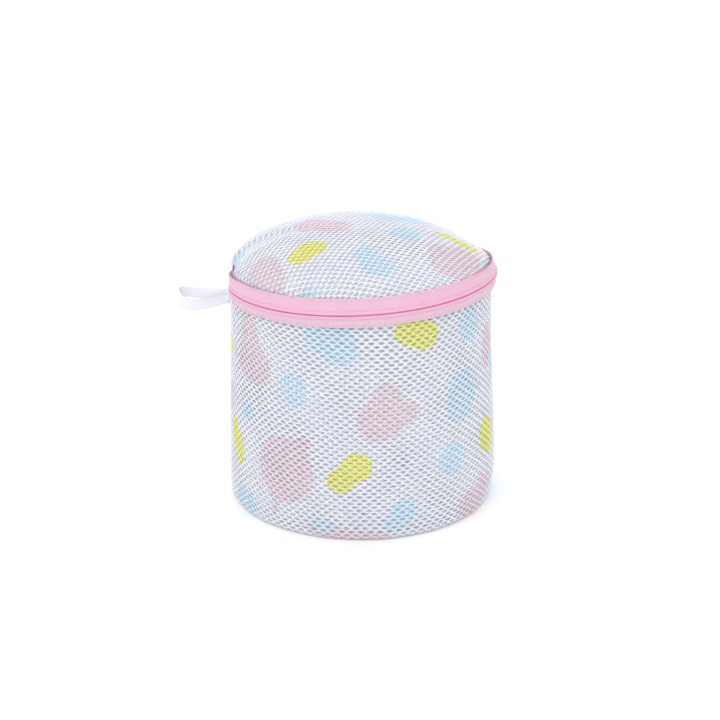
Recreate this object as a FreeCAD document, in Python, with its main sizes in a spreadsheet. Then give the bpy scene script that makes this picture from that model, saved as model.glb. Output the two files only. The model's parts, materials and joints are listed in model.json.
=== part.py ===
import FreeCAD, Part
import math
import os
import re
import Sketcher

from FreeCAD import Placement, Rotation, Vector

# A small self-standing mesh wash bag: a round wall and bottom of knitted sandwich mesh, a domed mesh
# lid, a coil zipper round most of the rim, and a ribbon hang loop at the zipper's open end.
# Millimetres. Origin at the centre of the bottom's underside, +Z up, the zipper's front towards -Y.
# Azimuths run counter-clockwise from +X, seen from above: the front is 270, the hang loop about 180.
# The rim lies a little askew, so everything on it is built in a frame of its own, tilted with it,
# whose origin is the middle of the rim and whose XY plane is the line where the two coils meet.

SIZES = [
    ("bottom_radius", 74.8, "outer radius of the wall at the bottom"),
    ("wall_top_radius", 72.3, "outer radius of the wall just under the zipper"),
    ("mesh_thickness", 2.0, "thickness of the sandwich mesh"),
    ("corner_radius", 3.0, "rounding of the bottom edge"),
    ("seam_gap", 0.3, "space between the bottom panel and the wall's turned-in edge"),
    ("wall_above_rim", 8.0, "height above the coil line up to which the wall is turned before it is cut"),
    ("cutter_height", 40.0, "height of the two bodies that cut the wall's upper edge"),
    ("cutter_margin", 20.0, "how far they reach outside the wall"),
    ("rim_height", 129.0, "height of the coil line at the middle of the bag"),
    ("rim_tilt", 2.8, "slope of the rim in degrees, higher towards +X"),
    ("lid_rise", 22.3, "rise of the lid's dome above its straight edge"),
    ("lid_radius", 73.2, "outer radius of the lid's straight edge"),
    ("lid_edge_low", 5.5, "lower end of the lid's straight edge above the coil line"),
    ("lid_edge_high", 8.5, "upper end of the lid's straight edge above the coil line"),
    ("hinge_gap", 0.15, "half the space between lid and wall along the fabric hinge"),
    ("ring_radius", 75.4, "outer radius of the zipper tapes at the coil line"),
    ("tape_thickness", 0.8, "thickness of a zipper tape"),
    ("tape_gap", 0.4, "half the space between the two tapes and coils"),
    ("upper_tape_top", 9.0, "upper edge of the upper tape above the coil line"),
    ("upper_tape_radius", 74.4, "outer radius of the upper tape at its upper edge"),
    ("lower_tape_bottom", 7.0, "lower edge of the lower tape below the coil line"),
    ("lower_tape_radius", 74.0, "outer radius of the lower tape at its lower edge"),
    ("wall_drop", 5.0, "wall's upper edge below the coil line, behind the lower tape"),
    ("coil_outer", 74.0, "outer radius of the coils, inside the tapes"),
    ("coil_inner", 72.7, "inner radius of the coils"),
    ("coil_width", 1.8, "width of one coil"),
    ("zip_start", 185.0, "azimuth of the zipper's open end, at the left"),
    ("zip_sweep", 304.0, "arc of the zipper in degrees, through the front and the right"),
    ("open_park", 200.0, "azimuth of the slider when the bag is unzipped"),
    ("closed_park", 481.0, "azimuth of the slider when the bag is zipped up"),
    ("park_clearance", 6.0, "half arc in degrees that the upper coil leaves free at a park"),
    ("coil_start", 6.5, "arc in degrees from the zipper's open end to the lower coil"),
    ("coil_end_gap", 1.5, "arc in degrees between the lower coil and its top stop's middle"),
    ("binding_thickness", 0.6, "thickness of the seam bindings"),
    ("binding_width", 4.0, "width of the seam bindings"),
    ("binding_gap", 0.35, "space between the wall and the bindings of its upper edge"),
    ("binding_step", 0.2, "how far the hinge's binding stays below the wall's upper edge"),
    ("seam_strip_sweep", 3.2, "arc in degrees of the strip over the wall's upright seam"),
    ("seam_strip_space", 6.0, "space between that strip and the rim's binding"),
    ("sewn_gap", 0.05, "space between two pieces that lie on each other"),
    ("thread_radius", 0.25, "radius of the sewing thread"),
    ("thread_gap", 0.02, "space between a stitch row and its tape"),
    ("stitch_inset", 1.2, "distance of a stitch row from the edge of its tape"),
    ("stitch_slope", 0.25, "how much a tape leans out over that distance, as a slope"),
    ("stitch_margin", 1.0, "arc in degrees that a stitch row leaves free at each end of its tape"),
    ("slider_length", 11.0, "length of the slider along the zipper"),
    ("slider_half_width", 3.4, "half the width of the slider across the zipper"),
    ("slider_clearance", 0.5, "space between the slider's plates and the zipper"),
    ("plate_thickness", 1.2, "thickness of the slider's plates"),
    ("flange_thickness", 0.7, "thickness of the slider's side flanges"),
    ("flange_inset", 0.7, "how far the flanges end inside the coils' outer radius"),
    ("web_thickness", 0.35, "thickness of the web between the slider's plates"),
    ("web_start", 1.5, "distance of the web's rear end from the slider's middle"),
    ("web_inset", 0.8, "distance of the web's front end from the slider's front"),
    ("bow_height", 2.3, "height of the slider's bow over the outer plate"),
    ("bow_thickness", 0.9, "thickness of the slider's bow"),
    ("bow_half_length", 4.2, "half the length of the slider's bow"),
    ("bow_half_width", 1.0, "half the width of the slider's bow"),
    ("pull_length", 17.5, "length of the pull tab from its pin"),
    ("pull_half_width", 2.8, "half the width of the pull tab"),
    ("pull_thickness", 1.1, "thickness of the pull tab"),
    ("pull_pin_radius", 0.45, "radius of the pull tab's pin"),
    ("eye_length", 6.0, "length of the pull tab's eye"),
    ("eye_half_width", 1.9, "half the width of the pull tab's eye"),
    ("stop_length", 2.4, "length of a zipper stop"),
    ("stop_arc", 4.5, "arc in degrees from the zipper's open end to its bottom stop"),
    ("stop_depth", 0.1, "how far a stop sits inside the coils' radii"),
    ("loop_azimuth", 181.0, "azimuth of the hang loop"),
    ("loop_root", 76.0, "distance of the hang loop's root from the bag's axis"),
    ("loop_length", 31.5, "length of the hang loop from its root"),
    ("loop_end_radius", 4.2, "outer radius of the hang loop's rounded end"),
    ("ribbon_width", 6.0, "width of the hang loop's ribbon"),
    ("ribbon_thickness", 0.6, "thickness of the hang loop's ribbon"),
    ("loop_drop", 9.5, "middle of the ribbon below the coil line"),
    ("loop_eye_start", 2.5, "distance from the hang loop's root at which its two sides part"),
    ("gather_length", 4.0, "length over which the ribbon is gathered at its root"),
    ("gather_depth", 1.6, "how much the gathering narrows each edge of the ribbon at its root"),
    ("tail_radius", 73.5, "distance of the hang loop's two sewn ends from the rim's axis"),
    ("tail_thickness", 1.0, "thickness of those two ends together"),
]

doc = FreeCAD.newDocument("MeshWashBag")
sheet = doc.addObject("Spreadsheet::Sheet", "Sizes")
for row, (alias, value, meaning) in enumerate(SIZES, start=1):
    sheet.set(f"A{row}", alias)
    sheet.set(f"B{row}", str(value))
    sheet.set(f"C{row}", meaning)
    sheet.setAlias(f"B{row}", alias)
doc.recompute()

ALIASES = {alias for alias, value, meaning in SIZES}
SAME = 1e-6  # two lengths closer than this are the same
parts = []


def cell(alias):
    """The number in a cell of the sheet."""
    return float(sheet.get(alias))


def formula(text):
    """The text as an expression, with each alias pointing at its cell."""
    def point(word):
        return f"Sizes.{word.group()}" if word.group() in ALIASES else word.group()
    return re.sub(r"[a-z_]+", point, text)


def bind(thing, **formulas):
    """Bind properties of an object to formulas in the sheet's aliases."""
    for name, text in formulas.items():
        thing.setExpression(name, formula(text))
    return thing


def number(text):
    """The value of a formula in the sheet's aliases, for the placements."""
    holder = doc.getObject("Scratch") or doc.addObject("App::FeaturePython", "Scratch")
    if not hasattr(holder, "Number"):
        holder.addProperty("App::PropertyFloat", "Number")
    bind(holder, Number=text)
    holder.recompute()
    return holder.Number


def rim_place(height="0", azimuth="0", out="0"):
    """A place in the rim's frame: turned to an azimuth, moved out from the axis and up."""
    tilt = Placement(Vector(0, 0, cell("rim_height")), Rotation(Vector(0, -1, 0), cell("rim_tilt")))
    turn = Placement(Vector(0, 0, number(height)), Rotation(Vector(0, 0, 1), number(azimuth)))
    return tilt.multiply(turn).multiply(Placement(Vector(number(out), 0, 0), Rotation()))


def keep(thing, label):
    """Name an object as one of the bag's pieces."""
    thing.Label = label
    parts.append(thing)
    return thing


def cut(base, tool):
    result = doc.addObject("Part::Cut", "Cut")
    result.Base = base
    result.Tool = tool
    return result


def fuse(things):
    result = doc.addObject("Part::MultiFuse", "Fuse")
    result.Shapes = things
    return result


def cone(low_radius, high_radius, height, sweep, place):
    """A cone, or a cylinder where both radii agree, over an arc that starts at its place's +X."""
    if abs(number(low_radius) - number(high_radius)) < SAME:
        solid = doc.addObject("Part::Cylinder", "Core")
        bind(solid, Radius=low_radius, Height=height, Angle=sweep)
    else:
        solid = doc.addObject("Part::Cone", "Core")
        bind(solid, Radius1=low_radius, Radius2=high_radius, Height=height, Angle=sweep)
    solid.Placement = place
    return solid


def band(low, high, low_radius, high_radius, thickness, start="zip_start", sweep="zip_sweep"):
    """A band of the rim between two heights, given by its outer radii and its thickness."""
    place = rim_place(low, start)
    height = f"({high}) - ({low})"
    outer = cone(low_radius, high_radius, height, sweep, place)
    inner = cone(f"{low_radius} - {thickness}", f"{high_radius} - {thickness}", height, sweep, place)
    return cut(outer, inner)


def block(place, x_low, x_high, y_low, y_high, z_low, z_high):
    """A box between six formulas, in the frame of its place."""
    box = doc.addObject("Part::Box", "Block")
    bind(box, Length=f"({x_high}) - ({x_low})")
    bind(box, Width=f"({y_high}) - ({y_low})")
    bind(box, Height=f"({z_high}) - ({z_low})")
    corner = Vector(number(x_low), number(y_low), number(z_low))
    box.Placement = place.multiply(Placement(corner, Rotation()))
    return box


def origin_plane(body, role):
    return next(plane for plane in body.Origin.OriginFeatures if plane.Role == role)


def outline(body, role, corners):
    """A closed sketch on one of a body's own planes, every corner held by two formulas."""
    sketch = body.newObject("Sketcher::SketchObject", "Outline")
    sketch.AttachmentSupport = (origin_plane(body, role), "")
    sketch.MapMode = "FlatFace"
    places = [Vector(number(x), number(y), 0) for x, y in corners]
    for index, start in enumerate(places):
        sketch.addGeometry(Part.LineSegment(start, places[(index + 1) % len(places)]))
    for index, (x, y) in enumerate(corners):
        sketch.addConstraint(Sketcher.Constraint("Coincident", index, 2, (index + 1) % len(corners), 1))
        for kind, text in (("DistanceX", x), ("DistanceY", y)):
            held = sketch.addConstraint(Sketcher.Constraint(kind, -1, 1, index, 1, number(text)))
            sketch.setExpression(f"Constraints[{held}]", formula(text))
    return sketch


# The wall: a slightly tapered tube of mesh, turned in at the bottom, where the bottom panel is sewn on.

def side_wall():
    body = doc.addObject("PartDesign::Body", "WallBody")
    wall_height = "rim_height + wall_above_rim"
    profile = outline(body, "XZ_Plane", [
        ("bottom_radius - mesh_thickness - corner_radius", "0"),
        ("bottom_radius", "0"),
        ("wall_top_radius", wall_height),
        ("wall_top_radius - mesh_thickness", wall_height),
        ("bottom_radius - mesh_thickness", "mesh_thickness"),
        ("bottom_radius - mesh_thickness - corner_radius", "mesh_thickness"),
    ])
    turned = body.newObject("PartDesign::Revolution", "Turned")
    turned.Profile = profile
    turned.ReferenceAxis = (profile, ["V_Axis"])
    turned.Angle = 360
    doc.recompute()
    edge = next(
        f"Edge{index}" for index, edge in enumerate(turned.Shape.Edges, start=1)
        if isinstance(edge.Curve, Part.Circle)
        and abs(edge.Curve.Radius - cell("bottom_radius")) < SAME
        and abs(edge.Curve.Center.z) < SAME
    )
    rounded = body.newObject("PartDesign::Fillet", "BottomEdge")
    rounded.Base = (turned, [edge])
    bind(rounded, Radius="corner_radius - mesh_thickness / 10")
    body.Tip = rounded
    reach = "bottom_radius + cutter_margin"
    above_hinge = cone(reach, reach, "cutter_height", "360", rim_place("-hinge_gap"))
    above_zip = cone(reach, reach, "cutter_height", "zip_sweep", rim_place("-wall_drop", "zip_start"))
    return cut(cut(body, above_hinge), above_zip)


keep(side_wall(), "side_wall")

panel = doc.addObject("Part::Cylinder", "Panel")
bind(panel, Radius="bottom_radius - mesh_thickness - corner_radius - seam_gap", Height="mesh_thickness")
keep(panel, "bottom_panel")

rolled_seam = doc.addObject("Part::Torus", "RolledSeam")
bind(rolled_seam, Radius1="bottom_radius - mesh_thickness - corner_radius", Radius2="mesh_thickness / 2")
rolled_seam.Placement = Placement(Vector(0, 0, number("1.5 * mesh_thickness + sewn_gap")), Rotation())
keep(rolled_seam, "bottom_seam_binding")

HINGE_START = "zip_start + zip_sweep - 360"
HINGE_SWEEP = "360 - zip_sweep"
HINGE_MIDDLE = "zip_start - (360 - zip_sweep) / 2"


def side_seam():
    """The strip over the wall's upright seam, inside the back."""
    low = "3 * mesh_thickness"
    high = "rim_height - wall_drop - binding_width - seam_strip_space"
    slope = "(bottom_radius - wall_top_radius) / (rim_height + wall_above_rim)"
    turn = Rotation(Vector(0, 0, 1), number(f"{HINGE_MIDDLE} - seam_strip_sweep / 2"))
    place = Placement(Vector(0, 0, number(low)), turn)
    radii = [f"bottom_radius - mesh_thickness - 2 * sewn_gap - ({z}) * {slope}" for z in (low, high)]
    height = f"({high}) - ({low})"
    outer = cone(radii[0], radii[1], height, "seam_strip_sweep", place)
    thinner = [f"{radius} - binding_thickness" for radius in radii]
    inner = cone(thinner[0], thinner[1], height, "seam_strip_sweep", place)
    return cut(outer, inner)


keep(side_seam(), "side_seam_binding")

BINDING_RADIUS = "wall_top_radius - mesh_thickness - binding_gap"
keep(
    band("-wall_drop - binding_width", "-wall_drop", BINDING_RADIUS, BINDING_RADIUS, "binding_thickness"),
    "rim_seam_binding",
)
keep(
    band("-binding_width - hinge_gap", "-hinge_gap - binding_step", BINDING_RADIUS, BINDING_RADIUS,
         "binding_thickness", HINGE_START, HINGE_SWEEP),
    "hinge_seam_binding",
)

# The zipper: two tapes that flare out to meet at the coil line, a coil inside each, stops at both ends.

keep(
    band("-lower_tape_bottom", "-tape_gap", "lower_tape_radius", "ring_radius", "tape_thickness"),
    "lower_zipper_tape",
)
keep(
    band("tape_gap", "upper_tape_top", "ring_radius", "upper_tape_radius", "tape_thickness"),
    "upper_zipper_tape",
)


def coil(low, high, start, sweep):
    return band(low, high, "coil_outer", "coil_outer", "(coil_outer - coil_inner)", start, sweep)


def stop(azimuth, low, high):
    """A small clip pressed on the inside of the coil line."""
    place = rim_place("0", azimuth)
    return block(place, "coil_inner - stop_depth", "coil_outer - stop_depth",
                 "-stop_length / 2", "stop_length / 2", low, high)


keep(
    coil("-tape_gap - coil_width", "-tape_gap", "zip_start + coil_start",
         "closed_park + park_clearance - coil_end_gap - zip_start - coil_start"),
    "lower_zipper_coil",
)
keep(
    coil("tape_gap", "tape_gap + coil_width", "open_park + park_clearance",
         "closed_park - open_park - 2 * park_clearance"),
    "upper_zipper_coil",
)
keep(stop("zip_start + stop_arc", "-tape_gap - coil_width", "tape_gap + coil_width"), "zipper_bottom_stop")
keep(stop("closed_park + park_clearance", "-tape_gap - coil_width", "-tape_gap"), "lower_top_stop")
keep(stop("closed_park + park_clearance", "tape_gap", "tape_gap + coil_width"), "upper_top_stop")


def stitch_row(edge_radius, height):
    """A row of lockstitch lying on a tape, a little way in from the tape's edge."""
    row = doc.addObject("Part::Torus", "Stitches")
    bind(row, Radius1=f"{edge_radius} + thread_gap + stitch_inset * stitch_slope + thread_radius")
    bind(row, Radius2="thread_radius", Angle3="zip_sweep - 2 * stitch_margin")
    row.Placement = rim_place(height, "zip_start + stitch_margin")
    return row


keep(stitch_row("lower_tape_radius", "stitch_inset - lower_tape_bottom"), "lower_tape_stitching")
keep(stitch_row("upper_tape_radius", "upper_tape_top - stitch_inset"), "upper_tape_stitching")


# The lid: a dome with a short straight edge, which reaches down to the wall along the fabric hinge.

def dome(radius, rise):
    """Half an ellipsoid that stands on the upper end of the lid's straight edge."""
    solid = doc.addObject("Part::Ellipsoid", "Dome")
    bind(solid, Radius1=rise, Radius2=radius, Radius3=radius)
    solid.Angle1 = 0
    solid.Placement = rim_place("lid_edge_high")
    return solid


def lid_panel():
    inside = dome("lid_radius - mesh_thickness", "lid_rise - mesh_thickness")
    crown = cut(dome("lid_radius", "lid_rise"), inside)
    edge = band("lid_edge_low", "lid_edge_high", "lid_radius", "lid_radius", "mesh_thickness", "0", "360")
    flap = band("hinge_gap", "lid_edge_low", "wall_top_radius", "lid_radius", "mesh_thickness",
                HINGE_START, HINGE_SWEEP)
    return fuse([crown, edge, flap])


def lid_seam():
    """The seam allowance between the lid's straight edge and the upper tape."""
    outer = "upper_tape_radius - tape_thickness - thread_gap"
    thickness = "(upper_tape_radius - tape_thickness - lid_radius - 2 * thread_gap)"
    return band("lid_edge_low + tape_gap", "lid_edge_high", outer, outer, thickness)


keep(lid_panel(), "lid_panel")
keep(lid_seam(), "lid_seam_binding")


# The slider: two plates with a web between them, side flanges round the coils, and a bow for the pull.
# In its frame X points out of the bag, Y along the zipper as it closes, and Z up across the zipper.

def zipper_slider():
    place = rim_place("0", "closed_park")
    half = "slider_length / 2"
    width = "slider_half_width"
    outer_face = "(ring_radius + slider_clearance)"
    inner_face = "(coil_inner - slider_clearance)"
    flange_top = "(coil_outer - flange_inset)"
    outer = block(place, outer_face, f"{outer_face} + plate_thickness",
                  f"-{half}", half, f"-{width}", width)
    inner = block(place, f"{inner_face} - plate_thickness", inner_face,
                  f"-{half}", half, f"-{width}", width)
    flange_sides = (
        (f"-{width}", f"flange_thickness - {width}"),
        (f"{width} - flange_thickness", width),
    )
    flanges = [
        block(place, inner_face, flange_top, f"-{half}", half, low, high)
        for low, high in flange_sides
    ]
    web = block(place, inner_face, outer_face, "web_start", f"{half} - web_inset",
                "-web_thickness / 2", "web_thickness / 2")
    bow_base = f"({outer_face} + plate_thickness)"
    bow_top = f"({outer_face} + plate_thickness + bow_height)"
    bow_ends = (
        ("-bow_half_length", "bow_thickness - bow_half_length"),
        ("bow_half_length - bow_thickness", "bow_half_length"),
    )
    feet = [
        block(place, bow_base, bow_top, low, high, "-bow_half_width", "bow_half_width")
        for low, high in bow_ends
    ]
    bridge = block(place, f"{bow_top} - bow_thickness", bow_top, "-bow_half_length", "bow_half_length",
                   "-bow_half_width", "bow_half_width")
    return fuse([outer, inner, web, bridge] + flanges + feet)


keep(zipper_slider(), "zipper_slider")

PULL_OUT = "ring_radius + slider_clearance + plate_thickness + (bow_height - bow_thickness) / 2"


def pull_tab():
    place = rim_place("0", "closed_park", PULL_OUT)
    pin = doc.addObject("Part::Cylinder", "Pin")
    bind(pin, Radius="pull_pin_radius", Height="2 * pull_half_width")
    pin.Placement = place.multiply(Placement(Vector(0, 0, -cell("pull_half_width")), Rotation()))
    bars = [
        block(place, "-pull_pin_radius", "pull_pin_radius", "0", "eye_length", low, high)
        for low, high in (("-pull_half_width", "-eye_half_width"), ("eye_half_width", "pull_half_width"))
    ]
    paddle = block(place, "-pull_pin_radius", "pull_thickness - pull_pin_radius", "eye_length", "pull_length",
                   "-pull_half_width", "pull_half_width")
    return fuse([pin, paddle] + bars)


keep(pull_tab(), "pull_tab")


# The hang loop: a ribbon folded in two into a drop-shaped loop, its ends sewn to the zipper's open end.

def drop(inset, start):
    """The loop's outline seen from above: a drop whose point is at its root. The inset makes it smaller."""
    end_radius = cell("loop_end_radius")
    reach = cell("loop_length") - end_radius
    root_half = cell("ribbon_thickness") + 2 * cell("sewn_gap")
    slope = math.asin((end_radius - root_half) / reach)
    radius = end_radius - inset
    corner = Vector(reach - radius * math.sin(slope), radius * math.cos(slope), 0)
    root = Vector(start, root_half - inset + start * math.tan(slope), 0)
    far_corner = Vector(corner.x, -corner.y, 0)
    far_root = Vector(root.x, -root.y, 0)
    tip = Part.Arc(corner, Vector(reach + radius, 0, 0), far_corner).toShape()
    near = Part.makeLine(root, corner)
    far = Part.makeLine(far_corner, far_root)
    return Part.Face(Part.Wire([near, tip, far, Part.makeLine(far_root, root)]))


def gather(side):
    """The wedge that the gathering takes from the ribbon's lower (-1) or upper (1) edge at its root."""
    edge = cell("ribbon_width") / 2 * (1 + side)
    half_span = 2 * cell("loop_end_radius")
    corners = [
        Vector(0, -half_span, edge + side),
        Vector(0, -half_span, edge - side * cell("gather_depth")),
        Vector(cell("gather_length"), -half_span, edge),
        Vector(cell("gather_length"), -half_span, edge + side),
    ]
    return Part.Face(Part.makePolygon(corners + corners[:1])).extrude(Vector(0, 2 * half_span, 0))


def hang_loop():
    """The ribbon runs out from its root, round the loop's end and back, and widens from its gathered root."""
    width = Vector(0, 0, cell("ribbon_width"))
    solid = drop(0, 0).extrude(width)
    solid = solid.cut(drop(cell("ribbon_thickness"), cell("loop_eye_start")).extrude(width))
    for side in (-1, 1):
        solid = solid.cut(gather(side))
    feature = doc.addObject("Part::Feature", "HangLoop")
    feature.Shape = solid
    feature.Placement = rim_place("-loop_drop - ribbon_width / 2", "loop_azimuth", "loop_root")
    return feature


keep(hang_loop(), "hang_loop")

keep(
    block(rim_place("-loop_drop", "loop_azimuth"), "tail_radius", "tail_radius + tail_thickness",
          "-ribbon_width / 2", "ribbon_width / 2", "-ribbon_width / 3", "ribbon_width / 3"),
    "hang_loop_tail",
)

doc.recompute()

for thing in doc.Objects:
    if {"Invalid", "Error"} & set(thing.State):
        raise RuntimeError(f"{thing.Name} ({thing.Label}) failed: {thing.State}")
os.makedirs("parts", exist_ok=True)
for part in parts:
    shape = part.Shape
    if shape.isNull() or not shape.isValid() or not shape.Solids:
        raise RuntimeError(f"{part.Label} has no sound solid")
for part in parts:
    part.Shape.exportStep(f"parts/{part.Label}.step")
    box = part.Shape.BoundBox
    print(f"{part.Label:22s} solids {len(part.Shape.Solids)} volume {part.Shape.Volume:10.1f} "
          f"from z {box.ZMin:7.2f} to {box.ZMax:7.2f}")
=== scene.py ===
"""The looks of a round zip-up mesh wash bag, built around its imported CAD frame. Sizes are in millimetres."""
import json
import math

import bpy
import numpy as np
from mathutils import Matrix, Vector


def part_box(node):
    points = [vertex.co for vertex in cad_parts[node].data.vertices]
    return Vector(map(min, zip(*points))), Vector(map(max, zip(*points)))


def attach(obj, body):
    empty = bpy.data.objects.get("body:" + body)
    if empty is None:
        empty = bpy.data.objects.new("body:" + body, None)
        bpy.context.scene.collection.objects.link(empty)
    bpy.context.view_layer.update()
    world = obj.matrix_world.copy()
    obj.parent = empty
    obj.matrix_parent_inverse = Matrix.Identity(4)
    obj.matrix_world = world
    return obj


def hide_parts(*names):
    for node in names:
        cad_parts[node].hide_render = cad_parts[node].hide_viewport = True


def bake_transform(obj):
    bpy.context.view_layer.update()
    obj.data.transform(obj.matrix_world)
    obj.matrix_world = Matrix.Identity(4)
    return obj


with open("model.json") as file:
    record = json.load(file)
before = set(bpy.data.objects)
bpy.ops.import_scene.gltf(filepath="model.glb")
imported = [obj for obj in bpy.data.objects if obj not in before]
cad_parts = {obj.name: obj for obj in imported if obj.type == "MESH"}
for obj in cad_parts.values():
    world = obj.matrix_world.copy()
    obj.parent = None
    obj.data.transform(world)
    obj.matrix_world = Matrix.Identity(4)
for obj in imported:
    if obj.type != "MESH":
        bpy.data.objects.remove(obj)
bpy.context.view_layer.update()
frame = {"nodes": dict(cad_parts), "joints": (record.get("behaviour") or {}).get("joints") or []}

MM = 0.001
RANDOM = np.random.default_rng(7)
JOINTS = {joint["name"]: joint for joint in frame["joints"]}


# ---------------- the frame's sizes, in millimetres

RIM_CENTRE = np.array(JOINTS["slider_travel"]["pos_m"]) / MM
RIM_UP = np.array(JOINTS["slider_travel"]["axis"])
RIM_BACK = np.array([0.0, 1.0, 0.0])
RIM_RIGHT = np.cross(RIM_BACK, RIM_UP)
ROOT = np.array(JOINTS["hang_loop_droop"]["pos_m"]) / MM
HINGE = np.array(JOINTS["lid_hinge"]["pos_m"]) / MM


def rim_ranges(node):
    """A CAD node's ranges of radius and height about the rim's axis."""
    points = np.array([vertex.co for vertex in frame["nodes"][node].data.vertices]) / MM - RIM_CENTRE
    height = points @ RIM_UP
    radius = np.hypot(points @ RIM_RIGHT, points @ RIM_BACK)
    return radius.min(), radius.max(), height.min(), height.max()


RING_RADIUS = rim_ranges("upper_zipper_tape")[1]
UPPER_TOP = rim_ranges("upper_zipper_tape")[3]
LOWER_BOTTOM = rim_ranges("lower_zipper_tape")[2]
COIL_IN, COIL_OUT = rim_ranges("upper_zipper_coil")[:2]
COIL_LOW, COIL_HIGH = rim_ranges("upper_zipper_coil")[2:]
LID_RADIUS = rim_ranges("lid_seam_binding")[0] - 0.2
FOOT_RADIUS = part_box("side_wall")[1].x / MM
BOTTOM_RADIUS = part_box("bottom_panel")[1].x / MM

ZIP_START = 185.0          # azimuths in degrees, through the front and the right
ZIP_END = 489.0
WALL_SLOPE = 2.5 / 137     # how fast the wall leans inwards
CORNER = 3.0               # rounding of the bottom edge
WALL_TOP_RADIUS = 73.0
WALL_TUCK = 1.9            # how far the wall's lower edge is turned in under the bag
TAPE_OVERLAP = 4.6         # the wall's edge behind the lower tape, below the coil line
HINGE_GAP = 0.15
LID_RISE = 18.7
LID_EDGE = 8.5             # where the dome starts above the coil line
LID_TUCK = 5.8             # the lid's edge behind the upper tape, above the coil line
DOME_POWER = 2.5
DOME_SMOOTHING = 45        # repeats that round the corner between dome and edge
DOME_LEAN = 0.055          # how much lower the dome is to the right, as a slope
LEAN_ZERO = 0.35           # the dome's height stays where its azimuth has this cosine
LID_GRAIN = 28.0           # the turn of the lid's rows of holes from the wall's, in degrees
SAG_DEPTH = 7.5            # how far the cloth rim sinks at the back right
DRAWN_IN = 3.9             # how far the rim is drawn in at the zipper's left end
LEANS_IN = 2.8             # how far the upper tape leans in at the right


def polar(radius, azimuth, height, centre=(0, 0, 0), right=(1, 0, 0), back=(0, 1, 0), up=(0, 0, 1)):
    """Points from a radius, an azimuth in degrees and a height about an axis."""
    turn = np.radians(azimuth)
    radius, turn, height = np.broadcast_arrays(radius, turn, height)
    return (np.array(centre) + (radius * np.cos(turn))[..., None] * np.array(right)
            + (radius * np.sin(turn))[..., None] * np.array(back) + height[..., None] * np.array(up))


def ramp(value, low, high):
    """0 below low, 1 above high, smooth between."""
    share = np.clip((value - low) / (high - low), 0, 1)
    return share * share * (3 - 2 * share)


def hump(azimuth, middle, width, power=2):
    """A smooth hump of 1 at one azimuth. A higher power makes its top flatter and its sides steeper."""
    return np.exp(-((np.mod(azimuth - middle + 180, 360) - 180) / width) ** power)


def sag(azimuth):
    """How far the cloth rim sinks."""
    return SAG_DEPTH * hump(azimuth, 38, 34)


def draw_in(azimuth, height):
    """The rim is drawn in at the left, where the zipper ends, and the upper tape leans in at the right."""
    return (DRAWN_IN * hump(azimuth, ZIP_START, 8.5, 4) * ramp(height, -8, 0)
            + LEANS_IN * hump(azimuth, 14, 24) * ramp(height, 0, 9))


def rim(radius, azimuth, height):
    """Points of the rim, from a radius, an azimuth and a height above the coil line."""
    return polar(radius * (1 - draw_in(azimuth, height) / RING_RADIUS), azimuth, height - sag(azimuth),
                 RIM_CENTRE, RIM_RIGHT, RIM_BACK, RIM_UP)


def in_hinge(azimuth):
    """1 along the fabric hinge at the back, 0 along the zipper."""
    turn = np.mod(azimuth, 360)
    return ramp(turn, ZIP_END - 360 - 3, ZIP_END - 360) * (1 - ramp(turn, ZIP_START, ZIP_START + 3))


# ---------------- meshes

def show(name, data):
    """A new object in the scene."""
    thing = bpy.data.objects.new(name, data)
    bpy.context.scene.collection.objects.link(thing)
    return thing


def make(name, points, faces, attributes=None):
    """A mesh object from points in millimetres."""
    points = np.asarray(points, float)
    faces = [list(face) for face in faces]
    data = bpy.data.meshes.new(name)
    data.from_pydata((points * MM).tolist(), [], faces)
    data.polygons.foreach_set("use_smooth", [True] * len(data.polygons))
    for key, values in (attributes or {}).items():
        values = np.asarray(values, np.float32)
        if values.ndim == 1:
            data.attributes.new(key, "FLOAT", "POINT").data.foreach_set("value", values)
        else:
            data.attributes.new(key, "FLOAT_VECTOR", "POINT").data.foreach_set("vector", values.ravel())
    data.update()
    return show(name, data)


def volume(points, faces):
    """The signed volume inside quads, to tell whether they face outwards."""
    first, second, third, fourth = (points[faces[:, corner]] for corner in range(4))
    halves = np.einsum("ij,ij->i", first, np.cross(second, third))
    return (halves + np.einsum("ij,ij->i", first, np.cross(third, fourth))).sum() / 6


def join(parts):
    """Several (points, faces, cloth) as one."""
    points, faces, cloth, start = [], [], [], 0
    for part_points, part_faces, part_cloth in parts:
        points.append(part_points)
        cloth.append(part_cloth)
        faces.extend([index + start for index in face] for face in part_faces)
        start += len(part_points)
    return np.concatenate(points), faces, np.concatenate(cloth)


def grid(rings, closed=False):
    """Rings of points, shaped (rings, points, 3), as a tube. It gets end caps unless it is closed."""
    count, around = rings.shape[:2]
    faces = []
    for ring in range(count if closed else count - 1):
        here, there = ring * around, (ring + 1) % count * around
        for side in range(around):
            step = (side + 1) % around
            faces.append([here + side, here + step, there + step, there + side])
    if volume(rings.reshape(-1, 3), np.array(faces)) < 0:
        faces = [face[::-1] for face in faces]
        caps = [list(range(around)), [(count - 1) * around + side for side in reversed(range(around))]]
    else:
        caps = [list(reversed(range(around))), [(count - 1) * around + side for side in range(around)]]
    return rings.reshape(-1, 3), faces if closed else faces + caps


def unit(rows):
    """Each row scaled to a length of 1."""
    return rows / np.linalg.norm(rows, axis=1)[:, None]


def lengths(path):
    """The distance along a path to each of its points."""
    return np.concatenate([[0], np.cumsum(np.linalg.norm(np.diff(path, axis=0), axis=1))])


TUBE_SIDES = 6


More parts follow.
